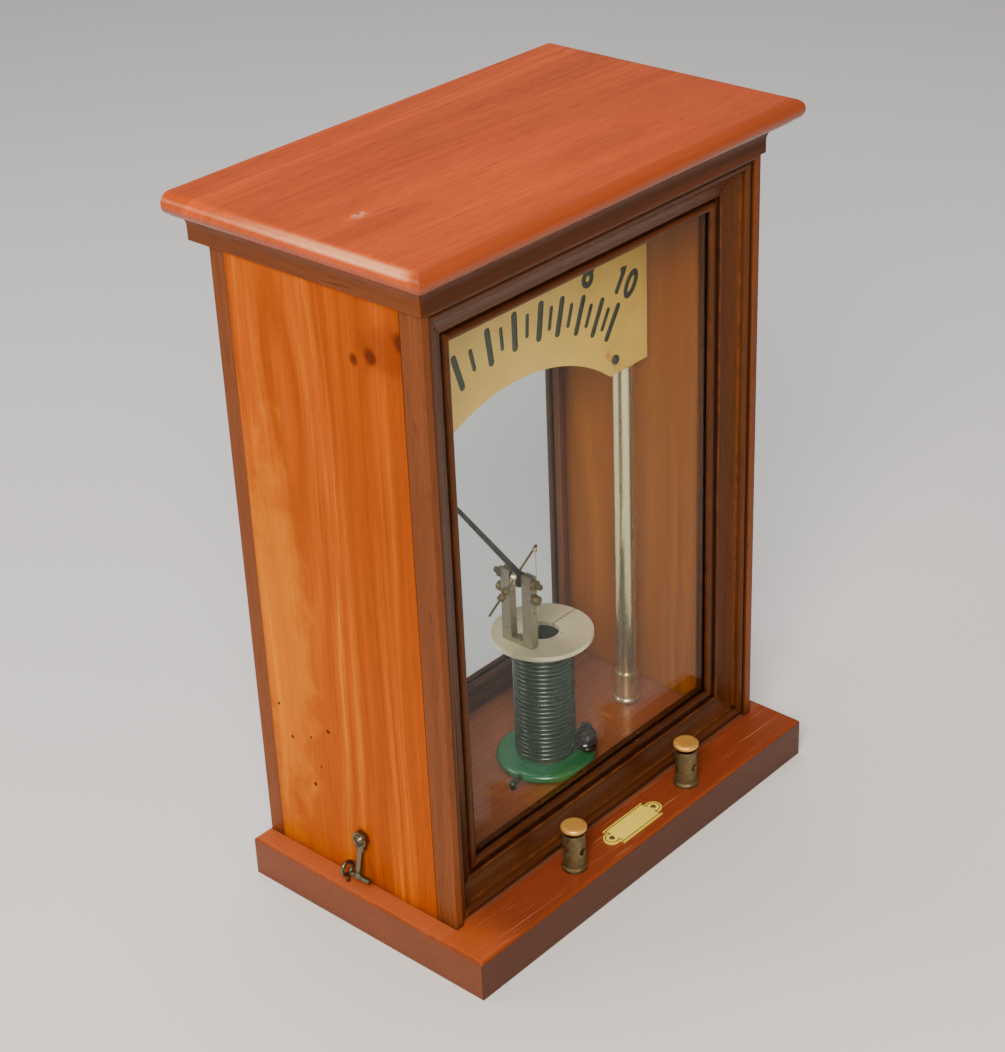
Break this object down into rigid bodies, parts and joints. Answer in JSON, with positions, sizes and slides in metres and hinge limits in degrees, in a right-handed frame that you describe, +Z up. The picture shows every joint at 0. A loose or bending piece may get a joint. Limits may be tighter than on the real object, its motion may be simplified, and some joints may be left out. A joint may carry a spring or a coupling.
{
  "type": "demonstration ammeter",
  "caption": "Moving-iron demonstration ammeter with a large open scale and a green coil, in a glazed wooden case that lifts off its base board, with brass screw terminals in front.",
  "frame": {"origin": "centre of the base board's underside", "axes": "+Z up, -Y towards the front with the terminals, +X to the right as seen from the front"},
  "size_m": [0.2474, 0.1542, 0.3427],
  "materials": {
    "base_wood": "polished mahogany-brown wood",
    "light_wood": "polished orange wood with knots and wormholes",
    "red_wood": "polished reddish wood",
    "dark_wood": "polished dark brown wood",
    "aged_brass": "dull aged brass",
    "bright_brass": "turned brass",
    "nickel": "worn nickel plating",
    "bare_metal": "turned bare metal",
    "copper": "copper",
    "green_cover": "glossy dark green wire covering",
    "green_paint": "glossy green paint",
    "scale_paint": "aged cream paint",
    "label": "yellowed ivory plastic",
    "black_paint": "matt black paint",
    "iron": "soft iron",
    "clear_glass": "clear window glass"
  },
  "bodies": {
    "base": {"base_board": "base_wood", "left_terminal_post": "aged_brass", "right_terminal_post": "aged_brass", "terminal_nuts": "bright_brass", "lead_strips": "copper", "label_plate": "label", "label_pins": "bright_brass", "coil_bottom_flange": "green_paint", "coil_tube": "bare_metal", "coil_core": "copper", "coil_winding": "green_cover", "coil_top_flange": "bare_metal", "coil_leads": "green_cover", "coil_screws": "nickel", "pivot_bracket": "bare_metal", "bracket_screw": "nickel", "pivot_screws": "bright_brass", "pivot_lock_nuts": "bright_brass", "clamp_screws": "bright_brass", "scale_plate": "scale_paint", "scale_screws": "scale_paint", "left_scale_post": "nickel", "right_scale_post": "nickel", "post_ferrules": "nickel", "post_nuts": "nickel", "stop_pins": "bright_brass", "screw_eyes": "nickel"},
    "pointer": {"pointer_spindle": "nickel", "pointer_hub": "nickel", "pointer_needle": "black_paint", "lever_rod": "aged_brass", "balance_nuts": "bright_brass"},
    "plunger": {"plunger_wire": "nickel", "iron_plunger": "iron"},
    "left_screw": {"left_clamp_screw": "aged_brass"},
    "left_knob": {"left_clamp_head": "bright_brass"},
    "right_screw": {"right_clamp_screw": "aged_brass"},
    "right_knob": {"right_clamp_head": "bright_brass"},
    "cover": {"left_side_board": "light_wood", "right_side_board": "light_wood", "left_front_stile": "dark_wood", "right_front_stile": "dark_wood", "front_head_rail": "dark_wood", "front_frame_left": "dark_wood", "front_frame_right": "dark_wood", "front_frame_top": "dark_wood", "front_frame_bottom": "dark_wood", "front_glass": "clear_glass", "front_glazing_strips": "dark_wood", "back_frame_stiles": "dark_wood", "back_frame_rails": "dark_wood", "back_glass": "clear_glass", "back_glazing_strips": "dark_wood", "top_board": "red_wood", "cornice_front": "red_wood", "cornice_sides": "red_wood", "hook_screws": "nickel"},
    "left_latch": {"left_hook": "nickel"},
    "right_latch": {"right_hook": "nickel"}
  },
  "joints": [
    {"name": "pointer_swing", "type": "hinge", "parent": "base", "child": "pointer", "pos_m": [0.0018, 0.008, 0.1295], "axis": [0, 1, 0], "range_deg": [0, 70.4], "stiffness_Nm_per_rad": 0.0004, "springref_deg": -11.46},
    {"name": "plunger_hang", "type": "hinge", "parent": "pointer", "child": "plunger", "pos_m": [0.01341, 0.0068, 0.1399], "axis": [0, 1, 0], "range_deg": [-70.4, 0]},
    {"name": "cover_lift", "type": "slide", "parent": "base", "child": "cover", "axis": [0, 0, 1], "range_m": [0, 0.31]},
    {"name": "left_hook_swing", "type": "hinge", "parent": "cover", "child": "left_latch", "pos_m": [-0.1118, 0.0075, 0.0455], "axis": [1, 0, 0], "range_deg": [-100, 15]},
    {"name": "right_hook_swing", "type": "hinge", "parent": "cover", "child": "right_latch", "pos_m": [0.1118, 0.0075, 0.0455], "axis": [1, 0, 0], "range_deg": [-100, 15]},
    {"name": "left_screw_rise", "type": "slide", "parent": "base", "child": "left_screw", "axis": [0, 0, 1], "range_m": [0, 0.0022]},
    {"name": "left_knob_turn", "type": "hinge", "parent": "left_screw", "child": "left_knob", "pos_m": [-0.042, -0.0601, 0.042], "axis": [0, 0, 1], "range_deg": [0, 1080]},
    {"name": "right_screw_rise", "type": "slide", "parent": "base", "child": "right_screw", "axis": [0, 0, 1], "range_m": [0, 0.0022]},
    {"name": "right_knob_turn", "type": "hinge", "parent": "right_screw", "child": "right_knob", "pos_m": [0.042, -0.0601, 0.042], "axis": [0, 0, 1], "range_deg": [0, 1080]}
  ],
  "couplings": [
    {"joint": "plunger_hang", "follows": "pointer_swing", "ratio": -1},
    {"joint": "left_knob_turn", "follows": "left_screw_rise", "rad_per_m": 8568},
    {"joint": "right_knob_turn", "follows": "right_screw_rise", "rad_per_m": 8568}
  ]
}
